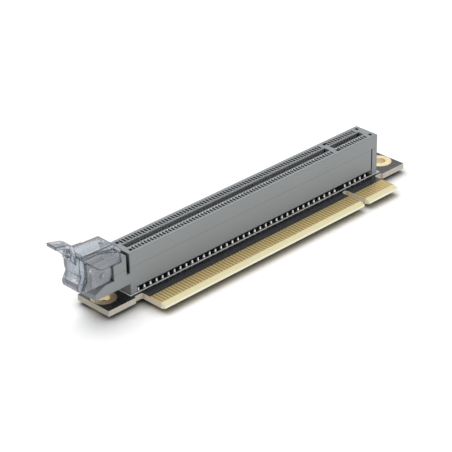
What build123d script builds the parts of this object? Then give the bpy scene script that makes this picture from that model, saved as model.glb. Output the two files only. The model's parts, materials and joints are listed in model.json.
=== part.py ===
from build123d import *
import os

# Bare riser card: a board with a 164-contact card slot standing on one face, a matching gold
# edge along one side, a plated mounting hole in each end and a clear latch on the slot's tail.
# The origin is midway between the two mounting holes, on the underside of the board.
# X runs along the slot, the gold edge points to -Y and the slot opens to +Z.

# Contact field, the same in the slot and along the gold edge
pitch = 1.0
long_count = 71
short_count = 11
key_gap = 3.0
edge_margin = 0.65
long_reach = key_gap / 2 + pitch * (long_count - 1) + edge_margin
short_reach = key_gap / 2 + pitch * (short_count - 1) + edge_margin

# Slot housing along the board, measured from its key
end_wall_left = 2.0
end_wall_right = 2.7
housing_left = long_reach + end_wall_left
housing_right = short_reach + end_wall_right
slot_offset = -0.05
slot_key_x = (housing_left - housing_right) / 2 + slot_offset

# Board, which runs on past both ends of the slot for its mounting holes
board_thickness = 1.57
board_end = 8.9
board_length = housing_left + housing_right + 2 * board_end
board_width = 11.3
hole_inset = 3.4
hole_spacing = board_length - 2 * hole_inset
mount_hole = 3.2
plating = 0.06
land_width = 1.65
land_height = 0.05

# Gold edge
tongue_reach = 13.2
edge_offset = 0.47
edge_key_x = slot_key_x + edge_offset
notch_width = 1.9
notch_end = 4.9
relief_width = 2.65
relief_end = 5.0
relief_radius = 0.5
bevel_length = 1.3
bevel_drop = 0.47
pad_width = 0.65
pad_back = 7.7
pad_tip_gap = 1.65
pad_height = 0.05

# Slot housing across the board, and its openings
housing_width = 7.5
housing_height = 11.25
wall_lift = 1.45
slot_width = 1.7
slot_depth = 8.1
slot_end_play = 0.25
lead_in = 0.12
key_rib = 1.65
rib_width = 0.2
rib_height = 0.6
cavity_width = 0.55
cavity_back = 2.9
foot_left = 2.05
foot_right = 2.25
corner_groove = 0.4
corner_groove_height = 7.6
peg_diameter = 2.35
peg_play = 0.1
peg_reach = 1.2
peg_inset = 1.1
dummy_width = 0.85
dummy_length = 1.0
dummy_depth = 1.2

# Slot contacts
contact_width = 0.4
contact_thickness = 0.22
contact_grip = 0.12
contact_tip_drop = 0.1
contact_bump_drop = 3.3
contact_tip = 1.3
inner_row = 1.25
outer_row = 3.4
tail_reach = 1.0

# Tail of the housing, which carries the latch
tail_length = 11.15
tail_bottom = 3.0
tail_ledge = 5.9
ledge_past_pivot = 0.4
ledge_slope = 0.45
tail_gap = 1.05
tail_slit = 1.9
slit_floor = 4.5
cheek_half_width = 2.5
cheek_reach = 1.7
cheek_corner = 1.2
shoulder_top = 10.05
shoulder_end = 1.45
pivot_inset = 8.15
pivot_height = 8.3

# Latch, as sizes from its pivot
latch_play = 0.25
side_radius = 2.85
side_drop = 2.25
side_thickness = 0.65
arm_thickness = 1.0
arm_bottom = 2.0
arm_reach = 5.45
wall_reach = 6.3
wall_thickness = 1.65
wall_drop = 1.6
roof_half_width = 2.8
roof_height = 6.9
roof_thickness = 1.0
roof_rise = 0.5
roof_reach = 4.3
nose_reach = 6.7
nose_height = 4.4
tab_half_width = 1.6
tab_reach = 12.2
tab_height = 12.2
tab_thickness = 0.9
tab_stem = 7.0
tab_bend = 10.5
rib_half_width = 0.5
tooth_half_width = 0.7
trunnion_radius = 0.75
trunnion_play = 0.08

half_width = housing_width / 2
board_top = board_thickness
housing_top = board_top + housing_height
housing_floor = board_top + wall_lift
slot_floor = housing_top - slot_depth
pivot_x = slot_key_x - housing_left - pivot_inset
pivot_z = board_top + pivot_height


def contact_places(key_x):
    """Contact centres of both sections, counted outward from the key."""
    first = key_gap / 2
    long_side = [key_x - first - pitch * index for index in range(long_count)]
    short_side = [key_x + first + pitch * index for index in range(short_count)]
    return long_side[::-1] + short_side


def block(x_low, x_high, y_low, y_high, z_low, z_high):
    """A box given by its six limits."""
    size = (x_high - x_low, y_high - y_low, z_high - z_low)
    centre = ((x_low + x_high) / 2, (y_low + y_high) / 2, (z_low + z_high) / 2)
    return Pos(*centre) * Box(*size)


def across(outline, x_low, x_high):
    """A prism along X from an outline of (y, z) points."""
    return Pos(x_low, 0, 0) * extrude(Plane.YZ * make_face(Polyline(*outline, close=True)), x_high - x_low)


def side_plate(face, y_low, y_high):
    """A prism along Y from a face that is drawn in x and z."""
    return Pos(0, y_high, 0) * extrude(Plane.XZ * face, y_high - y_low)


def both_sides(solid):
    """The piece with its mirror image on the other side of the slot."""
    return solid + mirror(solid, about=Plane.XZ)


def make_board():
    tongue_left = edge_key_x - long_reach
    tongue_right = edge_key_x + short_reach
    tongue_length = tongue_right - tongue_left
    tongue_x = (tongue_left + tongue_right) / 2
    plan = Rectangle(board_length, board_width)
    plan += Pos(tongue_x, -tongue_reach / 2) * Rectangle(tongue_length, tongue_reach)
    relief = fillet(Rectangle(relief_width, 2 * (tongue_reach - relief_end)).vertices(), relief_radius)
    for side in (-1, 1):
        plan -= Pos(tongue_x + side * (tongue_length + relief_width) / 2, -tongue_reach) * relief
    notch = Rot(0, 0, 90) * SlotOverall(2 * (tongue_reach - notch_end), notch_width)
    plan -= Pos(edge_key_x, -tongue_reach) * notch
    for x in (-hole_spacing / 2, hole_spacing / 2):
        plan -= Pos(x, 0) * Circle(mount_hole / 2 + plating)
    for x in peg_places():
        plan -= Pos(x, 0) * Circle((peg_diameter + peg_play) / 2)
    board = extrude(plan, board_thickness)
    bevel_start = -tongue_reach + bevel_length
    for face, inward in ((0, 1), (board_thickness, -1)):
        wedge = [(-tongue_reach, face), (bevel_start, face), (-tongue_reach, face + inward * bevel_drop)]
        board -= across(wedge, tongue_left, tongue_right)
    return board


def make_pads(z):
    """One row of gold pads, which stop short of the bevelled tip."""
    tip = -tongue_reach + pad_tip_gap
    pad = block(-pad_width / 2, pad_width / 2, tip, -pad_back, z, z + pad_height)
    return [Pos(x, 0, 0) * pad for x in contact_places(edge_key_x)]


def make_plated_hole(x):
    """A lined hole with a gold ring on each face of the board, which thins out to its rim."""
    bore = mount_hole / 2
    land = bore + land_width
    outline = [
        (bore, -land_height),
        (land, 0),
        (bore + plating, 0),
        (bore + plating, board_thickness),
        (land, board_thickness),
        (bore, board_thickness + land_height),
    ]
    profile = Plane.XZ * make_face(Polyline(*outline, close=True))
    return Pos(x, 0, 0) * revolve(profile, Axis.Z)


def peg_places():
    """The two plastic pegs, at the key and at the tail end."""
    return (slot_key_x, slot_key_x - housing_left + peg_inset)


def make_cavity():
    """One contact cavity at x = 0 on the front side, with its window in the top face."""
    window_front = slot_width / 2 + rib_width
    outline = [
        (0, slot_floor),
        (-cavity_back, slot_floor),
        (-cavity_back, housing_top),
        (-window_front, housing_top),
        (-window_front, housing_top - rib_height),
        (0, housing_top - rib_height),
    ]
    return across(outline, -cavity_width / 2, cavity_width / 2)


def cut_contact_field(housing):
    """Takes the slot, its lead-in and the contact cavities out of the block."""
    left = long_reach + slot_end_play
    right = short_reach + slot_end_play
    for x_low, x_high in ((-left, -key_rib / 2), (key_rib / 2, right)):
        throat = [
            (-slot_width / 2, slot_floor),
            (-slot_width / 2, housing_top - lead_in),
            (-slot_width / 2 - lead_in, housing_top),
            (slot_width / 2 + lead_in, housing_top),
            (slot_width / 2, housing_top - lead_in),
            (slot_width / 2, slot_floor),
        ]
        housing -= across(throat, slot_key_x + x_low, slot_key_x + x_high)
    cavity = make_cavity()
    front = [Pos(x, 0, 0) * cavity for x in contact_places(slot_key_x)]
    housing -= front
    housing -= [mirror(solid, about=Plane.XZ) for solid in front]
    return housing


def dummy_places():
    """Blind windows past the two ends of the contact field and beside the key."""
    left = -key_gap / 2 - pitch * long_count
    right = key_gap / 2 + pitch * (short_count + 1)
    beside_key = key_gap / 2 - 0.8 * pitch
    return [slot_key_x + x for x in (left, beside_key, right)]


def make_housing():
    left = slot_key_x - housing_left
    right = slot_key_x + housing_right
    housing = block(left, right, -half_width, half_width, housing_floor, housing_top)
    housing = cut_contact_field(housing)
    for x in dummy_places():
        pocket = block(
            x - dummy_width / 2, x + dummy_width / 2, -cavity_back, dummy_length - cavity_back,
            housing_top - dummy_depth, housing_top)
        housing -= both_sides(pocket)
    housing += block(left, left + foot_left, -half_width, half_width, board_top, housing_floor)
    housing += block(right - foot_right, right, -half_width, half_width, board_top, housing_floor)
    groove = block(
        right - foot_right, right - foot_right + corner_groove, -half_width, -half_width + corner_groove,
        board_top, board_top + corner_groove_height)
    housing -= both_sides(groove)
    for x in peg_places():
        length = housing_floor - board_top + peg_reach
        housing += Pos(x, 0, housing_floor - length / 2) * Cylinder(peg_diameter / 2, length)
    return housing + make_tail(left)


def make_tail(left):
    """The tail: a ledge, two slit cheeks with the pivot holes, and a shoulder on each side."""
    reach = left - tail_length
    ledge_z = board_top + tail_ledge
    bottom_z = board_top + tail_bottom
    drop = tail_length - pivot_inset
    slope = [
        (left, bottom_z),
        (left, ledge_z),
        (pivot_x + ledge_past_pivot, ledge_z),
        (reach, ledge_z - ledge_slope * drop),
        (reach, bottom_z),
    ]
    base = side_plate(make_face(Polyline(*slope, close=True)), -half_width, half_width)
    cheek_right = left - tail_gap
    cheek_left = pivot_x - cheek_reach
    cheek_z = ledge_z - drop
    cheek = Pos((cheek_left + cheek_right) / 2, (cheek_z + housing_top) / 2) * Rectangle(
        cheek_right - cheek_left, housing_top - cheek_z)
    cheek = fillet(cheek.vertices().group_by(Axis.X)[0].sort_by(Axis.Y)[-1], cheek_corner)
    cheek -= Pos(pivot_x, pivot_z) * Circle(trunnion_radius + trunnion_play)
    tail = base + side_plate(cheek, -cheek_half_width, cheek_half_width)
    shoulder_left = pivot_x + side_radius + latch_play
    step_x = cheek_right - shoulder_end
    shoulder = [
        (shoulder_left, ledge_z),
        (shoulder_left, board_top + shoulder_top),
        (step_x, board_top + shoulder_top),
        (step_x, housing_top),
        (cheek_right, housing_top),
        (cheek_right, ledge_z),
    ]
    tail += side_plate(make_face(Polyline(*shoulder, close=True)), -half_width, half_width)
    slit = block(reach, cheek_right, -tail_slit / 2, tail_slit / 2, board_top + slit_floor, housing_top)
    return tail - slit


def contact_line(row):
    """Bends of a front contact as (distance from the slot's centre, height)."""
    tail = [(row, -tail_reach)]
    if row == outer_row:
        tail.append((row, housing_floor))
    return tail + [
        (slot_width / 2 - contact_grip, housing_top - contact_bump_drop),
        (contact_tip, housing_top - contact_tip_drop),
    ]


def make_contact(row):
    """One bent contact at x = 0, a strip that follows its bends."""
    bends = [Vector(y, z) for y, z in contact_line(row)]
    inner = []
    outer = []
    for index, bend in enumerate(bends):
        before = (bend - bends[index - 1]).normalized() if index else None
        after = (bends[index + 1] - bend).normalized() if index + 1 < len(bends) else None
        run = before or after
        normals = [Vector(-way.Y, way.X) for way in (before, after) if way]
        mean = sum(normals, Vector()).normalized()
        half = contact_thickness / 2 / mean.dot(Vector(-run.Y, run.X))
        inner.append(bend + mean * half)
        outer.append(bend - mean * half)
    outline = [(-point.X, point.Y) for point in inner + outer[::-1]]
    return across(outline, -contact_width / 2, contact_width / 2)


def make_contacts(row, first, side):
    """Every second contact of one side, from the given first one."""
    contact = make_contact(row)
    if side > 0:
        contact = mirror(contact, about=Plane.XZ)
    places = contact_places(slot_key_x)
    chosen = places[first:long_count:2] + places[long_count + 1 - first::2]
    return [Pos(x, 0, 0) * contact for x in chosen]


def latch_plate(outline, y_low, y_high):
    """A plate of the latch from a closed outline in x and z, given from the pivot."""
    return side_plate(Pos(pivot_x, pivot_z) * make_face(outline), y_low, y_high)


def make_end_wall():
    """The wavy wall at the free end, the same thickness all the way down."""
    top = (-wall_reach, roof_height)
    pinch = (-0.98 * wall_reach, 0.3 * roof_height)
    shoulder = (-1.1 * wall_reach, 0.12 * roof_height)
    bottom = (-1.13 * wall_reach, -wall_drop)
    wave = ThreePointArc(top, (-1.04 * wall_reach, 0.65 * roof_height), pinch)
    wave += Line(pinch, shoulder)
    wave += ThreePointArc(shoulder, (-1.17 * wall_reach, -0.05 * roof_height), bottom)
    ends = [Line(point, (point[0] + wall_thickness, point[1])) for point in (top, bottom)]
    return latch_plate(wave + Pos(wall_thickness, 0) * wave + ends, -roof_half_width, roof_half_width)


def make_roof():
    """The roof with its turned-down nose."""
    high = roof_height + roof_rise
    skin = roof_thickness
    outline = [
        (-wall_reach, high),
        (roof_reach, roof_height),
        (nose_reach, nose_height),
        (nose_reach - 0.6 * skin, nose_height - 0.6 * skin),
        (roof_reach - 0.4 * skin, roof_height - skin),
        (0.9 * skin - wall_reach, high - skin),
        (0.1 * skin - wall_reach, high - 1.9 * skin),
    ]
    return latch_plate(Polyline(*outline, close=True), -roof_half_width, roof_half_width)


def make_tab():
    """The thumb tab and the web under it."""
    high = roof_height + roof_rise
    skin = tab_thickness
    root = (-wall_reach, 0.71 * roof_height)
    outline = [
        (-tab_reach, tab_height),
        (0.1 * skin - tab_reach, tab_height - skin),
        (-tab_stem - 1.3 * skin, tab_bend - 0.4 * skin),
        (-tab_stem - 0.9 * skin, 0.96 * roof_height),
        root,
        (0.2 * skin - wall_reach, high - 0.1 * skin),
        (-tab_stem, tab_bend),
        (-tab_stem - 1.2 * skin, tab_bend + 0.7 * skin),
    ]
    tab = latch_plate(Polyline(*outline, close=True), -tab_half_width, tab_half_width)
    tip = (0.2 * skin - tab_reach, tab_height - 0.9 * skin)
    web = ThreePointArc(tip, (-0.75 * tab_reach, 0.7 * tab_height), root)
    web += Polyline(root, (-tab_stem - 0.5 * skin, tab_bend - 0.1 * skin), tip)
    return tab + latch_plate(web, -rib_half_width, rib_half_width)


def make_arm():
    """The front rail that the card's edge slides past."""
    outline = [
        (-0.97 * wall_reach, roof_height),
        (-0.52 * wall_reach, 0.62 * roof_height),
        (-0.19 * wall_reach, 1.2 * arm_bottom),
        (0, arm_bottom),
        (arm_reach, arm_bottom),
        (arm_reach, 0.64 * roof_height),
        (0.92 * arm_reach, 0.72 * roof_height),
        (-0.08 * wall_reach, 0.97 * roof_height),
        (-0.4 * wall_reach, roof_height),
    ]
    inner_side = cheek_half_width + latch_play
    return latch_plate(Polyline(*outline, close=True), -inner_side - arm_thickness, -inner_side)


def make_side():
    """The front side plate, round at the foot, with its trunnion."""
    inner_side = cheek_half_width + latch_play
    foot_x = (side_radius**2 - side_drop**2) ** 0.5
    rim = RadiusArc((foot_x, -side_drop), (side_radius, 0), -side_radius)
    rim += Polyline(
        (side_radius, 0),
        (0.9 * side_radius, 1.05 * arm_bottom),
        (-0.19 * wall_reach, 1.25 * arm_bottom),
        (-0.52 * wall_reach, 0.64 * roof_height),
        (-0.78 * wall_reach, 0.78 * roof_height),
        (-0.78 * wall_reach, 0.09 * roof_height),
        (-0.98 * wall_reach, -0.6 * side_drop),
        (-0.89 * wall_reach, -side_drop),
        (foot_x, -side_drop))
    side = latch_plate(rim, -inner_side - side_thickness, -inner_side)
    trunnion = Pos(pivot_x, pivot_z) * Circle(trunnion_radius)
    return side + side_plate(trunnion, -inner_side - side_thickness / 2, -tail_slit / 2 - latch_play)


def make_tooth():
    """The tooth under the nose, which drops into the card's notch."""
    outline = [
        (0.56 * roof_reach, roof_height - 0.8 * roof_thickness),
        (0.9 * nose_reach, nose_height),
        (0.87 * nose_reach, 0.77 * nose_height),
        (0.69 * nose_reach, 0.6 * arm_bottom),
        (0.54 * nose_reach, 0.6 * arm_bottom),
    ]
    return latch_plate(Polyline(*outline, close=True), -tooth_half_width, tooth_half_width)


def make_latch():
    """The clear latch, one moulding that turns on its two trunnions."""
    return make_end_wall() + make_roof() + make_tab() + both_sides(make_arm() + make_side()) + make_tooth()


def write(node, solids):
    solids = solids if isinstance(solids, list) else [solids]
    piece = Compound(children=solids, label=node) if len(solids) > 1 else solids[0]
    export_step(piece, f"parts/{node}.step")


os.makedirs("parts", exist_ok=True)
write("circuit_board", make_board())
write("edge_contacts_top", make_pads(board_thickness))
write("edge_contacts_bottom", make_pads(-pad_height))
write("plated_hole_left", make_plated_hole(-hole_spacing / 2))
write("plated_hole_right", make_plated_hole(hole_spacing / 2))
write("slot_housing", make_housing())
write("slot_contacts_front_outer", make_contacts(outer_row, 0, -1))
write("slot_contacts_front_inner", make_contacts(inner_row, 1, -1))
write("slot_contacts_rear_outer", make_contacts(outer_row, 0, 1))
write("slot_contacts_rear_inner", make_contacts(inner_row, 1, 1))
write("retention_latch", make_latch())
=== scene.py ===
import json
import math

import bmesh
import bpy
from mathutils import Matrix, Vector


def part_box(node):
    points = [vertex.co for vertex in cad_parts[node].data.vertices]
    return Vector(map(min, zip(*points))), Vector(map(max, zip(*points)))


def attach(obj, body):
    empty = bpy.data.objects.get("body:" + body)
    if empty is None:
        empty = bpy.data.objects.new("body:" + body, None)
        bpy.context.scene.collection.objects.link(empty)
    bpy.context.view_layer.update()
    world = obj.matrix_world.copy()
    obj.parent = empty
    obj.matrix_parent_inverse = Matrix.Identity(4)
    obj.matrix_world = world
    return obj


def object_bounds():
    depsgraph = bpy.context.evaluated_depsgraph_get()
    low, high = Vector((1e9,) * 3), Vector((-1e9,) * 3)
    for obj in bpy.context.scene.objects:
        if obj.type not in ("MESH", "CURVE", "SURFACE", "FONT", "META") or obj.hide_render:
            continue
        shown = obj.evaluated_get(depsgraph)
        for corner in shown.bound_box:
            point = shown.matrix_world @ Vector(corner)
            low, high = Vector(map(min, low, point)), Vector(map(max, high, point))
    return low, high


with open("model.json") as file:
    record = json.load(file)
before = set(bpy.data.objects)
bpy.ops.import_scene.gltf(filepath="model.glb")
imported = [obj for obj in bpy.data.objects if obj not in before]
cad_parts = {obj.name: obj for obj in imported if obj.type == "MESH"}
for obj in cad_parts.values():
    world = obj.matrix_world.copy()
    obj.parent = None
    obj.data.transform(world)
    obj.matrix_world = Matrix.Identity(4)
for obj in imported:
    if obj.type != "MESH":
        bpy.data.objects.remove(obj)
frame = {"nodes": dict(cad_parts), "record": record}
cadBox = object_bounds()
nodes = frame["nodes"]
mm = 0.001
print("frame loaded:", len(nodes), "nodes")

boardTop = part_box("circuit_board")[1].z
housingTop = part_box("slot_housing")[1].z
padLow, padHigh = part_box("edge_contacts_top")


def linear(hexColour):
    # sRGB hex to the linear values that a socket holds
    parts = [int(hexColour[i:i + 2], 16) / 255 for i in (1, 3, 5)]
    return [c / 12.92 if c <= 0.04045 else ((c + 0.055) / 1.055) ** 2.4 for c in parts] + [1.0]


def addNode(tree, kind, settings=None, links=None):
    # one node: a setting is a property, or a socket's value by name or number, and a link comes
    # from one socket or, into a joining node, from a list of them
    node = tree.nodes.new(kind)
    for name, value in (settings or {}).items():
        if isinstance(name, str) and hasattr(node, name):
            setattr(node, name, value)
        else:
            node.inputs[name].default_value = value
    for name, sources in (links or {}).items():
        for source in sources if isinstance(sources, list) else [sources]:
            tree.links.new(source, node.inputs[name])
    return node


def newMaterial(name):
    material = bpy.data.materials.new(name)
    material.use_nodes = True
    tree = material.node_tree
    tree.nodes.clear()
    return material, tree


def dress(nodeName, material):
    # a CAD node keeps its mesh and takes a better finish
    for slot in nodes[nodeName].material_slots:
        slot.material = material


# Finishes: "smoothest" and "roughest" are the two ends of a finish's roughness

mouldedNylon = {
    "colour": "#8F9396", "pale": "#999D9F", "paintedPocketShade": "#0E0E10", "ior": 1.53,
    "flowLength": 9 * mm, "flowStretch": 0.25,
    "pocket": 6 * mm, "pocketShut": 0.2, "pocketOpen": 0.66,  # open share of the view
    "witnessHeight": 8.95 * mm, "witnessHalfWidth": 0.15 * mm,
    "witnessShade": (0.86, 0.86, 0.86, 1),
    "edgeRadius": 0.19 * mm, "edgeFrom": 1.0, "edgeFull": 0.9,  # cosine of the edge's turn
    "edgeShare": 0.6, "edgeShade": (0.3, 0.3, 0.31, 1),
    "sparkGrain": 0.12 * mm, "grainDepth": 0.02 * mm, "grainStrength": 0.25,
    "smoothest": 0.44, "roughest": 0.58,
}


def mouldedGlassNylon():
    # glass-filled nylon, injection moulded in a spark-eroded tool: matt, with a fine even grain,
    # faint flow clouds, a painted shade along soft edges and a painted shade line at the tool's
    # witness line along each wall; narrow pockets get a painted shade, near black
    material, tree = newMaterial("mouldedGlassNylon")
    place = addNode(tree, "ShaderNodeTexCoord").outputs["Object"]
    axes = addNode(tree, "ShaderNodeSeparateXYZ", links={0: place})
    flow = addNode(tree, "ShaderNodeMapping", {"Scale": (mouldedNylon["flowStretch"], 1, 1)},
                   {"Vector": place})
    clouds = addNode(tree, "ShaderNodeTexNoise",
                     {"Scale": 1 / mouldedNylon["flowLength"], "Detail": 3},
                     {"Vector": flow.outputs[0]})
    tone = addNode(tree, "ShaderNodeMix", {"data_type": "RGBA", 6: linear(mouldedNylon["colour"]),
                                           7: linear(mouldedNylon["pale"])},
                   {0: clouds.outputs[0]})
    # painted shade: deep, narrow pockets are painted towards near black, by how little of the view
    # round them is open
    pockets = addNode(tree, "ShaderNodeAmbientOcclusion",
                      {"samples": 12, "only_local": True, "Distance": mouldedNylon["pocket"]})
    openness = addNode(tree, "ShaderNodeMapRange", {"From Min": mouldedNylon["pocketShut"],
                                                    "From Max": mouldedNylon["pocketOpen"]},
                       {"Value": pockets.outputs["AO"]})
    shaded = addNode(tree, "ShaderNodeMix", {"data_type": "RGBA", 6: linear(mouldedNylon["paintedPocketShade"])},
                     {0: openness.outputs[0], 7: tone.outputs[2]})
    # painted shade: a thin darker band at this height stands for the shadow of the small step in
    # the wall at the tool's witness line
    witness = addNode(tree, "ShaderNodeMath",
                      {"operation": "COMPARE", 1: mouldedNylon["witnessHeight"],
                       2: mouldedNylon["witnessHalfWidth"]}, {0: axes.outputs[2]})
    lined = addNode(tree, "ShaderNodeMix", {"data_type": "RGBA", "blend_type": "MULTIPLY",
                                            7: mouldedNylon["witnessShade"]},
                    {0: witness.outputs[0], 6: shaded.outputs[2]})

    # near an edge the rounded normal turns away from the face's own, and there the colour gets a
    # painted shade
    edge = addNode(tree, "ShaderNodeBevel", {"samples": 4, "Radius": mouldedNylon["edgeRadius"]})
    plane = addNode(tree, "ShaderNodeNewGeometry")
    turn = addNode(tree, "ShaderNodeVectorMath", {"operation": "DOT_PRODUCT"},
                   {0: edge.outputs[0], 1: plane.outputs["True Normal"]})
    onEdge = addNode(tree, "ShaderNodeMapRange", {"From Min": mouldedNylon["edgeFrom"],
                                                  "From Max": mouldedNylon["edgeFull"],
                                                  "To Max": mouldedNylon["edgeShare"]},
                     {"Value": turn.outputs["Value"]})
    edged = addNode(tree, "ShaderNodeMix", {"data_type": "RGBA", "blend_type": "MULTIPLY",
                                            7: mouldedNylon["edgeShade"]},
                    {0: onEdge.outputs[0], 6: lined.outputs[2]})
    grain = addNode(tree, "ShaderNodeTexNoise",
                    {"Scale": 1 / mouldedNylon["sparkGrain"], "Detail": 2}, {"Vector": place})
    gloss = addNode(tree, "ShaderNodeMapRange", {"To Min": mouldedNylon["smoothest"],
                                                 "To Max": mouldedNylon["roughest"]},
                    {"Value": grain.outputs[0]})
    bump = addNode(tree, "ShaderNodeBump", {"Strength": mouldedNylon["grainStrength"],
                                            "Distance": mouldedNylon["grainDepth"]},
                   {"Height": grain.outputs[0], "Normal": edge.outputs[0]})
    shader = addNode(tree, "ShaderNodeBsdfPrincipled", {"IOR": mouldedNylon["ior"]},
                     {"Base Color": edged.outputs[2], "Roughness": gloss.outputs[0],
                      "Normal": bump.outputs[0]})
    addNode(tree, "ShaderNodeOutputMaterial", links={0: shader.outputs[0]})
    return material


pads = {"width": 0.65 * mm, "pitch": 1.0 * mm}


def fromPadMiddle(tree, axes):
    # how far a point is from the middle line of the nearest pad
    fromFirst = addNode(tree, "ShaderNodeMath",
                        {"operation": "SUBTRACT", 1: padLow.x + pads["width"] / 2},
                        {0: axes.outputs[0]})
    return addNode(tree, "ShaderNodeMath", {"operation": "PINGPONG", 1: pads["pitch"] / 2},
                   {0: fromFirst.outputs[0]})


boardFinish = {
    "mask": "#28282B", "track": "#343438", "bare": "#C8B485", "bareGlass": "#DDCC9E",
    "core": "#B0A99B", "coreLayer": "#D8D1C3", "tongueSide": "#EBDDC2",
    "tip": "#EFE6B8", "paintedTipEdgeLight": "#FFFCE6", "ior": 1.58,
    "maskFront": padHigh.y - 0.05 * mm, "tongueStart": -5.8 * mm,
    "tipStart": padLow.y - 0.2 * mm,
    "trackWidth": 0.3 * mm, "trackEnd": -4.6 * mm,
    "glassLayer": 0.18 * mm, "glassRun": 3 * mm, "weave": 0.45 * mm,
    "flatFrom": 0.97, "uprightTo": 0.3,  # how much a face looks up or down
    "maskRoughness": 0.22, "bareRoughness": 0.6,
    "relief": 0.03 * mm, "reliefStrength": 0.3, "weaveRelief": 0.3,  # the weave's, to a track's
}


def maskedGlassEpoxy():
    # glass-epoxy laminate under a black solder mask: glossy over faint copper tracks, bare and pale
    # along the gold edge, and on its cut edges the glass layers show
    material, tree = newMaterial("maskedGlassEpoxy")
    place = addNode(tree, "ShaderNodeTexCoord").outputs["Object"]
    axes = addNode(tree, "ShaderNodeSeparateXYZ", links={0: place})
    facing = addNode(tree, "ShaderNodeSeparateXYZ",
                     links={0: addNode(tree, "ShaderNodeNewGeometry").outputs["True Normal"]})
    steep = addNode(tree, "ShaderNodeMath", {"operation": "ABSOLUTE"}, {0: facing.outputs[2]})
    flat = addNode(tree, "ShaderNodeMath",
                   {"operation": "GREATER_THAN", 1: boardFinish["flatFrom"]}, {0: steep.outputs[0]})
    behind = addNode(tree, "ShaderNodeMath",
                     {"operation": "GREATER_THAN", 1: boardFinish["maskFront"]},
                     {0: axes.outputs[1]})

    # copper tracks from the pads to the slot, under the mask
    track = addNode(tree, "ShaderNodeMath",
                    {"operation": "LESS_THAN", 1: boardFinish["trackWidth"] / 2},
                    {0: fromPadMiddle(tree, axes).outputs[0]})
    beforeSlot = addNode(tree, "ShaderNodeMath",
                         {"operation": "LESS_THAN", 1: boardFinish["trackEnd"]},
                         {0: axes.outputs[1]})
    drawn = addNode(tree, "ShaderNodeMath", {"operation": "MULTIPLY"},
                    {0: track.outputs[0], 1: beforeSlot.outputs[0]})
    maskTone = addNode(tree, "ShaderNodeMix", {"data_type": "RGBA", 6: linear(boardFinish["mask"]),
                                               7: linear(boardFinish["track"])},
                       {0: drawn.outputs[0]})

    # the weave on the bare tongue
    weave = addNode(tree, "ShaderNodeTexNoise", {"Scale": 1 / boardFinish["weave"], "Detail": 2},
                    {"Vector": place})
    bareTone = addNode(tree, "ShaderNodeMix", {"data_type": "RGBA", 6: linear(boardFinish["bare"]),
                                               7: linear(boardFinish["bareGlass"])},
                       {0: weave.outputs[0]})
    topTone = addNode(tree, "ShaderNodeMix", {"data_type": "RGBA"},
                      {0: behind.outputs[0], 6: bareTone.outputs[2], 7: maskTone.outputs[2]})

    # glass layers on the cut edges, paler on the tongue
    glassRun, glassLayer = boardFinish["glassRun"], boardFinish["glassLayer"]
    squeezed = addNode(tree, "ShaderNodeMapping",
                       {"Scale": (1 / glassRun, 1 / glassRun, 1 / glassLayer)}, {"Vector": place})
    layers = addNode(tree, "ShaderNodeTexNoise", {"Scale": 1.0, "Detail": 2},
                     {"Vector": squeezed.outputs[0]})
    coreTone = addNode(tree, "ShaderNodeMix", {"data_type": "RGBA", 6: linear(boardFinish["core"]),
                                               7: linear(boardFinish["coreLayer"])},
                       {0: layers.outputs[0]})
    onTongue = addNode(tree, "ShaderNodeMath",
                       {"operation": "LESS_THAN", 1: boardFinish["tongueStart"]},
                       {0: axes.outputs[1]})
    edgeTone = addNode(tree, "ShaderNodeMix",
                       {"data_type": "RGBA", 7: linear(boardFinish["tongueSide"])},
                       {0: onTongue.outputs[0], 6: coreTone.outputs[2]})
    bodyTone = addNode(tree, "ShaderNodeMix", {"data_type": "RGBA"},
                       {0: flat.outputs[0], 6: edgeTone.outputs[2], 7: topTone.outputs[2]})

    # the tip is ground to a bevel through the pale glass
    tip = addNode(tree, "ShaderNodeMath", {"operation": "LESS_THAN", 1: boardFinish["tipStart"]},
                  {0: axes.outputs[1]})
    # painted light: the upright cut faces of the tip get a near-white tone, as if lit from the
    # front
    upright = addNode(tree, "ShaderNodeMath",
                      {"operation": "LESS_THAN", 1: boardFinish["uprightTo"]},
                      {0: steep.outputs[0]})
    tipTone = addNode(tree, "ShaderNodeMix", {"data_type": "RGBA", 6: linear(boardFinish["tip"]),
                                              7: linear(boardFinish["paintedTipEdgeLight"])},
                      {0: upright.outputs[0]})
    tone = addNode(tree, "ShaderNodeMix", {"data_type": "RGBA"},
                   {0: tip.outputs[0], 6: bodyTone.outputs[2], 7: tipTone.outputs[2]})
    masked = addNode(tree, "ShaderNodeMath", {"operation": "MULTIPLY"},
                     {0: flat.outputs[0], 1: behind.outputs[0]})
    gloss = addNode(tree, "ShaderNodeMapRange", {"To Min": boardFinish["bareRoughness"],
                                                 "To Max": boardFinish["maskRoughness"]},
                    {"Value": masked.outputs[0]})
    height = addNode(tree, "ShaderNodeMath",
                     {"operation": "MULTIPLY_ADD", 1: boardFinish["weaveRelief"]},
                     {0: weave.outputs[0], 2: drawn.outputs[0]})
    bump = addNode(tree, "ShaderNodeBump", {"Strength": boardFinish["reliefStrength"],
                                            "Distance": boardFinish["relief"]},
                   {"Height": height.outputs[0]})
    shader = addNode(tree, "ShaderNodeBsdfPrincipled", {"IOR": boardFinish["ior"]},
                     {"Base Color": tone.outputs[2], "Roughness": gloss.outputs[0],
                      "Normal": bump.outputs[0]})
    addNode(tree, "ShaderNodeOutputMaterial", links={0: shader.outputs[0]})
    return material


goldFinish = {
    "colour": "#EAD59A", "worn": "#D6BE85", "mark": "#A3894F",
    "markWidth": 0.34 * mm, "markEdge": 0.1 * mm,
    "wipeWidth": 0.12 * mm, "wipeLength": 3 * mm, "wipeDepth": 0.01 * mm, "wipeStrength": 0.15,
    "smoothest": 0.34, "roughest": 0.52,
}


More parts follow.
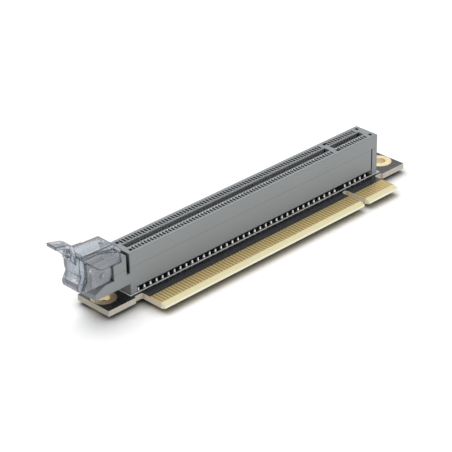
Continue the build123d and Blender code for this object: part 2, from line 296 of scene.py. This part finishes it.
def hardGold():
    # hard gold over nickel on copper: dull yellow metal, wiped lengthwise by the slot it has been
    # in, and with a darker brown stripe down the middle of each pad
    material, tree = newMaterial("hardGold")
    place = addNode(tree, "ShaderNodeTexCoord").outputs["Object"]
    axes = addNode(tree, "ShaderNodeSeparateXYZ", links={0: place})
    wipeWidth, wipeLength = goldFinish["wipeWidth"], goldFinish["wipeLength"]
    along = addNode(tree, "ShaderNodeMapping",
                    {"Scale": (1 / wipeWidth, 1 / wipeLength, 1 / wipeLength)}, {"Vector": place})
    wipes = addNode(tree, "ShaderNodeTexNoise", {"Scale": 1.0, "Detail": 3},
                    {"Vector": along.outputs[0]})
    tone = addNode(tree, "ShaderNodeMix", {"data_type": "RGBA", 6: linear(goldFinish["colour"]),
                                           7: linear(goldFinish["worn"])}, {0: wipes.outputs[0]})
    markWidth, markEdge = goldFinish["markWidth"], goldFinish["markEdge"]
    mark = addNode(tree, "ShaderNodeMapRange", {"From Min": (markWidth + markEdge) / 2,
                                                "From Max": (markWidth - markEdge) / 2},
                   {"Value": fromPadMiddle(tree, axes).outputs[0]})
    marked = addNode(tree, "ShaderNodeMix", {"data_type": "RGBA", 7: linear(goldFinish["mark"])},
                     {0: mark.outputs[0], 6: tone.outputs[2]})
    gloss = addNode(tree, "ShaderNodeMapRange", {"To Min": goldFinish["smoothest"],
                                                 "To Max": goldFinish["roughest"]},
                    {"Value": wipes.outputs[0]})
    bump = addNode(tree, "ShaderNodeBump", {"Strength": goldFinish["wipeStrength"],
                                            "Distance": goldFinish["wipeDepth"]},
                   {"Height": wipes.outputs[0]})
    shader = addNode(tree, "ShaderNodeBsdfPrincipled", {"Metallic": 1.0},
                     {"Base Color": marked.outputs[2], "Roughness": gloss.outputs[0],
                      "Normal": bump.outputs[0]})
    addNode(tree, "ShaderNodeOutputMaterial", links={0: shader.outputs[0]})
    return material


ringFinish = {
    "colour": "#CDB588", "pale": "#F0E2C2", "barrel": "#E1CDA6",
    "grain": 0.6 * mm, "grainDepth": 0.01 * mm, "grainStrength": 0.2,
    "smoothest": 0.36, "roughest": 0.54,
}


def immersionGold():
    # a thin bath of gold on plated copper: bright and pale, with a tone of its own on the steep
    # wall of the hole; the copper's grain under it is drawn coarser than it is, to show at all
    material, tree = newMaterial("immersionGold")
    place = addNode(tree, "ShaderNodeTexCoord").outputs["Object"]
    grain = addNode(tree, "ShaderNodeTexNoise", {"Scale": 1 / ringFinish["grain"], "Detail": 4},
                    {"Vector": place})
    tone = addNode(tree, "ShaderNodeMix", {"data_type": "RGBA", 6: linear(ringFinish["colour"]),
                                           7: linear(ringFinish["pale"])}, {0: grain.outputs[0]})
    facing = addNode(tree, "ShaderNodeSeparateXYZ",
                     links={0: addNode(tree, "ShaderNodeNewGeometry").outputs["True Normal"]})
    steep = addNode(tree, "ShaderNodeMath", {"operation": "ABSOLUTE"}, {0: facing.outputs[2]})
    plated = addNode(tree, "ShaderNodeMix", {"data_type": "RGBA", 6: linear(ringFinish["barrel"])},
                     {0: steep.outputs[0], 7: tone.outputs[2]})
    gloss = addNode(tree, "ShaderNodeMapRange", {"To Min": ringFinish["smoothest"],
                                                 "To Max": ringFinish["roughest"]},
                    {"Value": grain.outputs[0]})
    bump = addNode(tree, "ShaderNodeBump", {"Strength": ringFinish["grainStrength"],
                                            "Distance": ringFinish["grainDepth"]},
                   {"Height": grain.outputs[0]})
    shader = addNode(tree, "ShaderNodeBsdfPrincipled", {"Metallic": 1.0},
                     {"Base Color": plated.outputs[2], "Roughness": gloss.outputs[0],
                      "Normal": bump.outputs[0]})
    addNode(tree, "ShaderNodeOutputMaterial", links={0: shader.outputs[0]})
    return material


contactFinish = {
    "tin": "#FBFBFA", "paintedShade": "#18181A", "gold": "#D8B66C", "tinMetal": 0.15,
    "tinnedHeight": 0.85 * mm, "touchDrop": 3.3 * mm, "goldReach": 0.7 * mm,
    "drawGrain": 0.08 * mm, "drawStretch": 0.05, "smoothest": 0.37, "roughest": 0.55,
}


def tinAndGoldStrip():
    # stamped phosphor-bronze strip: matt tin on the soldered tail and the tip, gold where the card
    # touches, and between tin and gold a painted shade, near black, for the shadow under the
    # housing
    material, tree = newMaterial("tinAndGoldStrip")
    place = addNode(tree, "ShaderNodeTexCoord").outputs["Object"]
    axes = addNode(tree, "ShaderNodeSeparateXYZ", links={0: place})
    touch = housingTop - contactFinish["touchDrop"]
    gilt = addNode(tree, "ShaderNodeMath",
                   {"operation": "COMPARE", 1: touch, 2: contactFinish["goldReach"]},
                   {0: axes.outputs[2]})
    tone = addNode(tree, "ShaderNodeMix", {"data_type": "RGBA", 6: linear(contactFinish["tin"]),
                                           7: linear(contactFinish["gold"])}, {0: gilt.outputs[0]})
    tinned = boardTop + contactFinish["tinnedHeight"]
    gilded = touch - contactFinish["goldReach"]
    # painted shade: from the top of the tail's tin up to the gold the strip is painted near black
    bare = addNode(tree, "ShaderNodeMath",
                   {"operation": "COMPARE", 1: (tinned + gilded) / 2, 2: (gilded - tinned) / 2},
                   {0: axes.outputs[2]})
    plated = addNode(tree, "ShaderNodeMix",
                     {"data_type": "RGBA", 7: linear(contactFinish["paintedShade"])},
                     {0: bare.outputs[0], 6: tone.outputs[2]})
    drawn = addNode(tree, "ShaderNodeMapping", {"Scale": (1, 1, contactFinish["drawStretch"])},
                    {"Vector": place})
    grain = addNode(tree, "ShaderNodeTexNoise",
                    {"Scale": 1 / contactFinish["drawGrain"], "Detail": 2},
                    {"Vector": drawn.outputs[0]})
    gloss = addNode(tree, "ShaderNodeMapRange", {"To Min": contactFinish["smoothest"],
                                                 "To Max": contactFinish["roughest"]},
                    {"Value": grain.outputs[0]})
    metal = addNode(tree, "ShaderNodeMapRange", {"To Min": contactFinish["tinMetal"]},
                    {"Value": gilt.outputs[0]})
    shader = addNode(tree, "ShaderNodeBsdfPrincipled",
                     links={"Base Color": plated.outputs[2], "Metallic": metal.outputs[0],
                            "Roughness": gloss.outputs[0]})
    addNode(tree, "ShaderNodeOutputMaterial", links={0: shader.outputs[0]})
    return material


latchFinish = {
    "colour": "#FDFEFF", "streak": "#DFE4EA", "rim": "#12171F", "depth": "#5C84A8",
    "density": 130.0, "clear": 0.86, "ior": 1.585, "smoothest": 0.04, "roughest": 0.13,
    "ripple": 2.5 * mm, "rippleStretch": 0.3, "rippleDepth": 0.25 * mm, "rippleStrength": 0.45,
    "streakWidth": 1.6 * mm, "streakStretch": 0.12, "streakFrom": 0.38, "streakFull": 0.62,
    "rimRadius": 0.42 * mm, "rimFrom": 0.99, "rimFull": 0.93,  # cosine of the rim's turn
    "trunnionRadius": 1.7 * mm,
}


def clearPolycarbonate():
    # clear polycarbonate, moulded in a polished tool: glassy, faintly blue and darker through its
    # depth, with faint grey streaks and slow ripples where the melt cooled, and rounded edges with
    # a painted dark rim in place of the light they bend away
    material, tree = newMaterial("clearPolycarbonate")
    place = addNode(tree, "ShaderNodeTexCoord").outputs["Object"]
    melt = addNode(tree, "ShaderNodeMapping", {"Scale": (latchFinish["rippleStretch"], 1, 1)},
                   {"Vector": place})
    ripples = addNode(tree, "ShaderNodeTexNoise",
                      {"Scale": 1 / latchFinish["ripple"], "Detail": 1.5},
                      {"Vector": melt.outputs[0]})
    gloss = addNode(tree, "ShaderNodeMapRange", {"To Min": latchFinish["smoothest"],
                                                 "To Max": latchFinish["roughest"]},
                    {"Value": ripples.outputs[0]})
    # painted shade: where the rounded normal turns from the face's own, the colour goes near black
    rounded = addNode(tree, "ShaderNodeBevel", {"samples": 6, "Radius": latchFinish["rimRadius"]})
    plane = addNode(tree, "ShaderNodeNewGeometry")
    turn = addNode(tree, "ShaderNodeVectorMath", {"operation": "DOT_PRODUCT"},
                   {0: rounded.outputs[0], 1: plane.outputs["True Normal"]})
    onRim = addNode(tree, "ShaderNodeMapRange", {"From Min": latchFinish["rimFrom"],
                                                 "From Max": latchFinish["rimFull"]},
                    {"Value": turn.outputs["Value"]})

    # the painted dark rim stays off the trunnions, where they sit in the housing
    pivot = Vector(frame["record"]["behaviour"]["joints"][0]["pos_m"])
    fromPivot = addNode(tree, "ShaderNodeVectorMath", {"operation": "SUBTRACT", 1: pivot},
                        {0: place})
    beside = addNode(tree, "ShaderNodeVectorMath", {"operation": "MULTIPLY", 1: (1, 0, 1)},
                     {0: fromPivot.outputs[0]})
    reach = addNode(tree, "ShaderNodeVectorMath", {"operation": "LENGTH"}, {0: beside.outputs[0]})
    away = addNode(tree, "ShaderNodeMath",
                   {"operation": "GREATER_THAN", 1: latchFinish["trunnionRadius"]},
                   {0: reach.outputs["Value"]})
    rim = addNode(tree, "ShaderNodeMath", {"operation": "MULTIPLY"},
                  {0: onRim.outputs[0], 1: away.outputs[0]})
    flow = addNode(tree, "ShaderNodeMapping", {"Scale": (latchFinish["streakStretch"], 1, 1)},
                   {"Vector": place})
    streaks = addNode(tree, "ShaderNodeTexNoise",
                      {"Scale": 1 / latchFinish["streakWidth"], "Detail": 2},
                      {"Vector": flow.outputs[0]})
    streak = addNode(tree, "ShaderNodeMapRange", {"From Min": latchFinish["streakFrom"],
                                                  "From Max": latchFinish["streakFull"]},
                     {"Value": streaks.outputs[0]})
    body = addNode(tree, "ShaderNodeMix", {"data_type": "RGBA", 6: linear(latchFinish["colour"]),
                                           7: linear(latchFinish["streak"])},
                   {0: streak.outputs[0]})
    tone = addNode(tree, "ShaderNodeMix", {"data_type": "RGBA", 7: linear(latchFinish["rim"])},
                   {0: rim.outputs[0], 6: body.outputs[2]})
    bump = addNode(tree, "ShaderNodeBump", {"Strength": latchFinish["rippleStrength"],
                                            "Distance": latchFinish["rippleDepth"]},
                   {"Height": ripples.outputs[0], "Normal": rounded.outputs[0]})
    shader = addNode(tree, "ShaderNodeBsdfPrincipled",
                     {"IOR": latchFinish["ior"], "Transmission Weight": latchFinish["clear"]},
                     {"Base Color": tone.outputs[2], "Roughness": gloss.outputs[0],
                      "Normal": bump.outputs[0]})
    depth = addNode(tree, "ShaderNodeVolumeAbsorption", {"Color": linear(latchFinish["depth"]),
                                                         "Density": latchFinish["density"]})
    addNode(tree, "ShaderNodeOutputMaterial", links={0: shader.outputs[0], 1: depth.outputs[0]})
    return material


solderFinish = {
    "colour": "#F8F8F9", "dull": "#E6E7E9", "metal": 0.55, "roughness": 0.35,
    "frost": 0.1 * mm, "frostDepth": 0.01 * mm, "frostStrength": 0.3,
}


def frozenSolder():
    # lead-free solder, frozen from the wave: silvery, slightly frosted
    material, tree = newMaterial("frozenSolder")
    place = addNode(tree, "ShaderNodeTexCoord").outputs["Object"]
    frost = addNode(tree, "ShaderNodeTexNoise", {"Scale": 1 / solderFinish["frost"], "Detail": 3},
                    {"Vector": place})
    tone = addNode(tree, "ShaderNodeMix", {"data_type": "RGBA", 6: linear(solderFinish["colour"]),
                                           7: linear(solderFinish["dull"])}, {0: frost.outputs[0]})
    bump = addNode(tree, "ShaderNodeBump", {"Strength": solderFinish["frostStrength"],
                                            "Distance": solderFinish["frostDepth"]},
                   {"Height": frost.outputs[0]})
    shader = addNode(tree, "ShaderNodeBsdfPrincipled", {"Metallic": solderFinish["metal"],
                                                        "Roughness": solderFinish["roughness"]},
                     {"Base Color": tone.outputs[2], "Normal": bump.outputs[0]})
    addNode(tree, "ShaderNodeOutputMaterial", links={0: shader.outputs[0]})
    return material


inkFinish = {"colour": "#FFFFFF", "thin": "#DEDEDD", "dots": 0.1 * mm, "roughness": 0.7}


def screenedInk():
    # white epoxy ink, printed through a screen: matt, thin in places over the black
    material, tree = newMaterial("screenedInk")
    place = addNode(tree, "ShaderNodeTexCoord").outputs["Object"]
    dots = addNode(tree, "ShaderNodeTexNoise", {"Scale": 1 / inkFinish["dots"], "Detail": 2},
                   {"Vector": place})
    tone = addNode(tree, "ShaderNodeMix", {"data_type": "RGBA", 6: linear(inkFinish["colour"]),
                                           7: linear(inkFinish["thin"])}, {0: dots.outputs[0]})
    shader = addNode(tree, "ShaderNodeBsdfPrincipled", {"Roughness": inkFinish["roughness"]},
                     {"Base Color": tone.outputs[2]})
    addNode(tree, "ShaderNodeOutputMaterial", links={0: shader.outputs[0]})
    return material


housingPlastic = mouldedGlassNylon()
dress("slot_housing", housingPlastic)
dress("circuit_board", maskedGlassEpoxy())
padGold = hardGold()
dress("edge_contacts_top", padGold)
dress("edge_contacts_bottom", padGold)
ringGold = immersionGold()
dress("plated_hole_left", ringGold)
dress("plated_hole_right", ringGold)
contactStrip = tinAndGoldStrip()
for side in ("front", "rear"):
    dress(f"slot_contacts_{side}_outer", contactStrip)
    dress(f"slot_contacts_{side}_inner", contactStrip)
dress("retention_latch", clearPolycarbonate())
print("finishes set on the CAD nodes")


# Small parts that repeat along the contact field: solder joints and the contacts' rolled tips

contactWidth = 0.4 * mm
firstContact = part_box("slot_contacts_front_outer")[0].x + contactWidth / 2
field = {"First": firstContact, "Pitch": 1.0 * mm, "Long Count": 71, "Short Count": 11,
         "Key Gap": 3.0 * mm}
solder = {"Outer Row": 3.4 * mm, "Inner Row": 1.25 * mm, "Pad Radius": 0.52 * mm,
          "Wet Radius": 0.3 * mm, "Tip Radius": 0.17 * mm, "Foot Height": 0.16 * mm,
          "Cone Height": 0.62 * mm, "Top Radius": 0.42 * mm, "Top Height": 0.6 * mm,
          "Board Top": boardTop}
rolledTip = {"Outer Row": 1.3 * mm, "Inner Row": 1.3 * mm, "Radius": 0.2 * mm,
             "Width": contactWidth, "Height": housingTop - 0.5 * mm}
roundSides = 12  # few, because each shape is there 164 times


def newTree(name, values):
    # an empty tree with a named input for each value
    tree = bpy.data.node_groups.new(name, "GeometryNodeTree")
    tree.interface.new_socket("Geometry", in_out="OUTPUT", socket_type="NodeSocketGeometry")
    for socket, value in values.items():
        kind = "NodeSocketInt" if isinstance(value, int) else "NodeSocketFloat"
        tree.interface.new_socket(socket, in_out="INPUT", socket_type=kind)
    return tree, addNode(tree, "NodeGroupInput").outputs


def contactPoints(tree, given):
    # one point for each contact of the rear side, on both sides of the key
    step = addNode(tree, "ShaderNodeCombineXYZ", links={0: given["Pitch"]})
    longStart = addNode(tree, "ShaderNodeCombineXYZ", links={0: given["First"]})
    longLine = addNode(tree, "GeometryNodeMeshLine",
                       links={"Count": given["Long Count"], "Start Location": longStart.outputs[0],
                              "Offset": step.outputs[0]})
    pastLast = addNode(tree, "ShaderNodeMath", {"operation": "MULTIPLY_ADD"},
                       {0: given["Pitch"], 1: given["Long Count"], 2: given["First"]})
    last = addNode(tree, "ShaderNodeMath", {"operation": "SUBTRACT"},
                   {0: pastLast.outputs[0], 1: given["Pitch"]})
    shortX = addNode(tree, "ShaderNodeMath", {"operation": "ADD"},
                     {0: last.outputs[0], 1: given["Key Gap"]})
    shortStart = addNode(tree, "ShaderNodeCombineXYZ", links={0: shortX.outputs[0]})
    shortLine = addNode(tree, "GeometryNodeMeshLine",
                        links={"Count": given["Short Count"],
                               "Start Location": shortStart.outputs[0], "Offset": step.outputs[0]})
    line = addNode(tree, "GeometryNodeJoinGeometry",
                   links={0: [longLine.outputs[0], shortLine.outputs[0]]})

    # they step from the outer to the inner row and back
    place = addNode(tree, "ShaderNodeSeparateXYZ",
                    links={0: addNode(tree, "GeometryNodeInputPosition").outputs[0]})
    fromFirst = addNode(tree, "ShaderNodeMath", {"operation": "SUBTRACT"},
                        {0: place.outputs[0], 1: given["First"]})
    steps = addNode(tree, "ShaderNodeMath", {"operation": "DIVIDE"},
                    {0: fromFirst.outputs[0], 1: given["Pitch"]})
    inner = addNode(tree, "ShaderNodeMath", {"operation": "PINGPONG", 1: 1.0},
                    {0: steps.outputs[0]})
    row = addNode(tree, "ShaderNodeMapRange",
                  links={"Value": inner.outputs[0], "To Min": given["Outer Row"],
                         "To Max": given["Inner Row"]})
    shift = addNode(tree, "ShaderNodeCombineXYZ", links={1: row.outputs[0]})
    rear = addNode(tree, "GeometryNodeSetPosition",
                   links={"Geometry": line.outputs[0], "Offset": shift.outputs[0]})

    # the front side mirrors the rear
    front = addNode(tree, "GeometryNodeTransform", {"Scale": (1, -1, 1)},
                    {"Geometry": rear.outputs[0]})
    return addNode(tree, "GeometryNodeJoinGeometry",
                   links={0: [rear.outputs[0], front.outputs[0]]})


def roundSide(tree, made):
    # smooth round the side, with flat ends
    plain = addNode(tree, "GeometryNodeSetShadeSmooth", {"Shade Smooth": False},
                    {0: made.outputs[0]})
    return addNode(tree, "GeometryNodeSetShadeSmooth",
                   links={0: plain.outputs[0], "Selection": made.outputs["Side"]})


def finishTree(tree, points, instance, material):
    # a copy on each point, made real and given its material
    placed = addNode(tree, "GeometryNodeInstanceOnPoints",
                     links={"Points": points.outputs[0], "Instance": instance.outputs[0]})
    real = addNode(tree, "GeometryNodeRealizeInstances", links={0: placed.outputs[0]})
    done = addNode(tree, "GeometryNodeSetMaterial", {"Material": material},
                   {"Geometry": real.outputs[0]})
    addNode(tree, "NodeGroupOutput", links={0: done.outputs[0]})


def solderTree(values, material):
    # round each tail: a flat foot and a steeper cone below the board, and one cone on top
    tree, given = newTree("solderJoints", values)
    foot = addNode(tree, "GeometryNodeMeshCone", {"Vertices": roundSides},
                   {"Radius Top": given["Wet Radius"], "Radius Bottom": given["Pad Radius"],
                    "Depth": given["Foot Height"]})
    cone = addNode(tree, "GeometryNodeMeshCone", {"Vertices": roundSides},
                   {"Radius Top": given["Tip Radius"], "Radius Bottom": given["Wet Radius"],
                    "Depth": given["Cone Height"]})
    hanging = addNode(tree, "GeometryNodeJoinGeometry",
                      links={0: [roundSide(tree, foot).outputs[0],
                                 roundSide(tree, cone).outputs[0]]})
    below = addNode(tree, "GeometryNodeTransform", {"Rotation": (math.pi, 0, 0)},
                    {"Geometry": hanging.outputs[0]})
    climb = addNode(tree, "GeometryNodeMeshCone", {"Vertices": roundSides},
                    {"Radius Top": given["Tip Radius"], "Radius Bottom": given["Top Radius"],
                     "Depth": given["Top Height"]})
    top = addNode(tree, "ShaderNodeCombineXYZ", links={2: given["Board Top"]})
    above = addNode(tree, "GeometryNodeTransform",
                    links={"Geometry": roundSide(tree, climb).outputs[0],
                           "Translation": top.outputs[0]})
    joint = addNode(tree, "GeometryNodeJoinGeometry",
                    links={0: [below.outputs[0], above.outputs[0]]})
    finishTree(tree, contactPoints(tree, given), joint, material)
    return tree


def tipTree(values, material):
    # the strip is rolled over at its free end, so that it meets the card with a round
    tree, given = newTree("rolledTips", values)
    roll = addNode(tree, "GeometryNodeMeshCylinder", {"Vertices": roundSides},
                   {"Radius": given["Radius"], "Depth": given["Width"]})
    height = addNode(tree, "ShaderNodeCombineXYZ", links={2: given["Height"]})
    lying = addNode(tree, "GeometryNodeTransform", {"Rotation": (0, math.pi / 2, 0)},
                    {"Geometry": roundSide(tree, roll).outputs[0],
                     "Translation": height.outputs[0]})
    finishTree(tree, contactPoints(tree, given), lying, material)
    return tree


def fromTree(name, tree, values):
    # runs a tree on an empty mesh and keeps its result as a plain mesh
    piece = bpy.data.objects.new(name, bpy.data.meshes.new(name))
    bpy.context.scene.collection.objects.link(piece)
    modifier = piece.modifiers.new("shape", "NODES")
    modifier.node_group = tree
    for socket in tree.interface.items_tree:
        if socket.in_out == "INPUT":
            modifier[socket.identifier] = values[socket.name]
    depsgraph = bpy.context.evaluated_depsgraph_get()
    mesh = bpy.data.meshes.new_from_object(piece.evaluated_get(depsgraph))
    piece.modifiers.clear()
    piece.data = mesh
    mesh.name = name
    return piece


solderSizes = {**field, **solder}
solderJoints = fromTree("solderJoints", solderTree(solderSizes, frozenSolder()), solderSizes)
tipSizes = {**field, **rolledTip}
rolledTips = fromTree("rolledTips", tipTree(tipSizes, contactStrip), tipSizes)
for made in (solderJoints, rolledTips):
    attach(made, "card")
    print(made.name, len(made.data.polygons), "faces")


# Straight bars: the printed outline round the slot, and the lips of the slot's walls

inkLine = {"halfLength": 45.2 * mm, "halfWidth": 4.3 * mm, "width": 0.44 * mm,
           "thickness": 0.02 * mm}
slotLip = {"wall": 0.85 * mm, "thickness": 0.1 * mm, "topDrop": 0.55 * mm, "bottomDrop": 1.3 * mm,
           "pastContact": 0.4 * mm}


def barPiece(name, bars, material):
    # one mesh of plain bars, each from its low to its high corner
    mesh = bpy.data.meshes.new(name)
    form = bmesh.new()
    for start, end in bars:
        size = Vector(end) - Vector(start)
        middle = (Vector(start) + Vector(end)) / 2
        place = Matrix.Translation(middle) @ Matrix.Diagonal((*size, 1))
        bmesh.ops.create_cube(form, size=1, matrix=place)
    form.to_mesh(mesh)
    form.free()
    mesh.materials.append(material)
    piece = bpy.data.objects.new(name, mesh)
    bpy.context.scene.collection.objects.link(piece)
    return piece


def outlineBars():
    # a long bar before and behind the slot, and a short one between their ends at each side
    x, y, width = inkLine["halfLength"], inkLine["halfWidth"], inkLine["width"]
    low, high = boardTop, boardTop + inkLine["thickness"]
    return [((-x, -y, low), (x, width - y, high)),
            ((-x, y - width, low), (x, y, high)),
            ((-x, width - y, low), (width - x, y - width, high)),
            ((x - width, width - y, low), (x, y - width, high))]


def lipBars():
    # a thin lip under the rim of each wall, before the contacts' tips, on both sides of the key
    wall, thickness, past = slotLip["wall"], slotLip["thickness"], slotLip["pastContact"]
    low, high = housingTop - slotLip["bottomDrop"], housingTop - slotLip["topDrop"]
    longEnd = field["First"] + (field["Long Count"] - 1) * field["Pitch"]
    shortStart = longEnd + field["Key Gap"]
    shortEnd = shortStart + (field["Short Count"] - 1) * field["Pitch"]
    return [((start - past, y, low), (end + past, y + thickness, high))
            for start, end in ((field["First"], longEnd), (shortStart, shortEnd))
            for y in (wall, -wall - thickness)]


printedOutline = barPiece("printedOutline", outlineBars(), screenedInk())
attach(printedOutline, "card")
slotLips = barPiece("slotLips", lipBars(), housingPlastic)
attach(slotLips, "card")
print("printed outline and slot lips made")


# Floor, light and camera

studio = {
    "paper": "#F2F2F2", "paperSeen": 1.3, "floorHalf": 3.0, "fadeFrom": 0.14, "fadeTo": 0.24,
    "contactShade": 4 * mm, "shadeDepth": 1.25, "worldGlow": 0.45,
    "keyStrength": 1.35, "keyFrom": (0.05, 0.42, 0.9), "keyAngle": 46,
    "fillStrength": 0.9, "fillFrom": (0.05, -0.95, 0.22), "fillAngle": 30,
}


def whitePaper():
    # matt paper sweep: it keeps the shadow, the camera sees it a little lighter than it is with a
    # painted contact shadow close to the object, and away from the object it goes over into plain
    # white
    material, tree = newMaterial("whitePaper")
    rays = addNode(tree, "ShaderNodeLightPath")
    place = addNode(tree, "ShaderNodeTexCoord").outputs["Object"]
    away = addNode(tree, "ShaderNodeVectorMath", {"operation": "LENGTH"}, {0: place})
    fade = addNode(tree, "ShaderNodeMapRange",
                   {"interpolation_type": "SMOOTHSTEP", "From Min": studio["fadeFrom"],
                    "From Max": studio["fadeTo"]}, {"Value": away.outputs["Value"]})
    paper = addNode(tree, "ShaderNodeBsdfDiffuse", {"Color": linear(studio["paper"])})
    # painted shadow: close to the object the seen colour is darkened by ambient occlusion
    near = addNode(tree, "ShaderNodeAmbientOcclusion",
                   {"samples": 12, "Distance": studio["contactShade"]})
    shade = addNode(tree, "ShaderNodeMath", {"operation": "POWER", 1: studio["shadeDepth"]},
                    {0: near.outputs["AO"]})
    lifted = addNode(tree, "ShaderNodeMath", {"operation": "MULTIPLY", 1: studio["paperSeen"]},
                     {0: shade.outputs[0]})
    seen = addNode(tree, "ShaderNodeBsdfDiffuse", links={"Color": lifted.outputs[0]})
    white = addNode(tree, "ShaderNodeEmission", {"Strength": 1.0})
    fading = addNode(tree, "ShaderNodeMixShader",
                     links={0: fade.outputs[0], 1: seen.outputs[0], 2: white.outputs[0]})
    shown = addNode(tree, "ShaderNodeMixShader",
                    links={0: rays.outputs["Is Camera Ray"], 1: paper.outputs[0],
                           2: fading.outputs[0]})

    # gloss and glass show it plain white
    mirrored = addNode(tree, "ShaderNodeMath", {"operation": "MAXIMUM"},
                       {0: rays.outputs["Is Glossy Ray"], 1: rays.outputs["Is Transmission Ray"]})
    out = addNode(tree, "ShaderNodeMixShader",
                  links={0: mirrored.outputs[0], 1: shown.outputs[0], 2: white.outputs[0]})
    addNode(tree, "ShaderNodeOutputMaterial", links={0: out.outputs[0]})
    return material


def makeFloor():
    mesh = bpy.data.meshes.new("floor")
    form = bmesh.new()
    bmesh.ops.create_grid(form, x_segments=1, y_segments=1, size=studio["floorHalf"],
                          matrix=Matrix.Translation((0, 0, cadBox[0].z)))
    form.to_mesh(mesh)
    form.free()
    mesh.materials.append(whitePaper())
    floor = bpy.data.objects.new("floor", mesh)
    bpy.context.scene.collection.objects.link(floor)


def makeWorld():
    # white where it is seen, in gloss and through glass too, and dimmer as a light
    world = bpy.data.worlds.new("studio")
    bpy.context.scene.world = world
    world.use_nodes = True
    tree = world.node_tree
    tree.nodes.clear()
    rays = addNode(tree, "ShaderNodeLightPath")
    seen = addNode(tree, "ShaderNodeMath", {"operation": "MAXIMUM"},
                   {0: rays.outputs["Is Camera Ray"], 1: rays.outputs["Is Transmission Ray"]})
    shown = addNode(tree, "ShaderNodeMath", {"operation": "MAXIMUM"},
                    {0: seen.outputs[0], 1: rays.outputs["Is Glossy Ray"]})
    level = addNode(tree, "ShaderNodeMapRange", {"To Min": studio["worldGlow"]},
                    {"Value": shown.outputs[0]})
    light = addNode(tree, "ShaderNodeBackground", {"Color": (1, 1, 1, 1)},
                    {"Strength": level.outputs[0]})
    addNode(tree, "ShaderNodeOutputWorld", links={0: light.outputs[0]})


def softSun(name, place, strength, angle):
    # a wide sun stands in for a large softbox and lights the whole sweep evenly
    lamp = bpy.data.lights.new(name, "SUN")
    lamp.energy = strength
    lamp.angle = math.radians(angle)
    holder = bpy.data.objects.new(name, lamp)
    holder.location = place
    holder.rotation_mode = "QUATERNION"
    holder.rotation_quaternion = (-Vector(place)).to_track_quat("-Z", "Y")
    bpy.context.scene.collection.objects.link(holder)


photoView = {"place": (-296.479 * mm, -296.655 * mm, 232.834 * mm), "azimuth": 44.13,
             "elevation": 28.898, "roll": -1.02, "lens": 148.846, "sensor": 36,
             "nearest": 0.01, "farthest": 10}


def makeCamera():
    # from the place that was fitted to the photo, looking along its azimuth and elevation
    azimuth = math.radians(photoView["azimuth"])
    elevation = math.radians(photoView["elevation"])
    roll = math.radians(photoView["roll"])
    look = Vector((math.sin(azimuth) * math.cos(elevation),
                   math.cos(azimuth) * math.cos(elevation), -math.sin(elevation)))
    level = look.cross(Vector((0, 0, 1))).normalized()
    right = level * math.cos(roll) + level.cross(look) * math.sin(roll)
    up = right.cross(look)
    camera = bpy.data.cameras.new("camera")
    camera.lens = photoView["lens"]
    camera.sensor_width = photoView["sensor"]
    camera.clip_start = photoView["nearest"]
    camera.clip_end = photoView["farthest"]
    holder = bpy.data.objects.new("camera", camera)
    turn = Matrix((right, up, -look)).transposed().to_4x4()
    holder.matrix_world = Matrix.Translation(photoView["place"]) @ turn
    bpy.context.scene.collection.objects.link(holder)
    bpy.context.scene.camera = holder


makeFloor()
makeWorld()
softSun("keyLight", studio["keyFrom"], studio["keyStrength"], studio["keyAngle"])
softSun("fillLight", studio["fillFrom"], studio["fillStrength"], studio["fillAngle"])
makeCamera()
bpy.context.scene.view_settings.view_transform = "Standard"
print("floor, light and camera set")
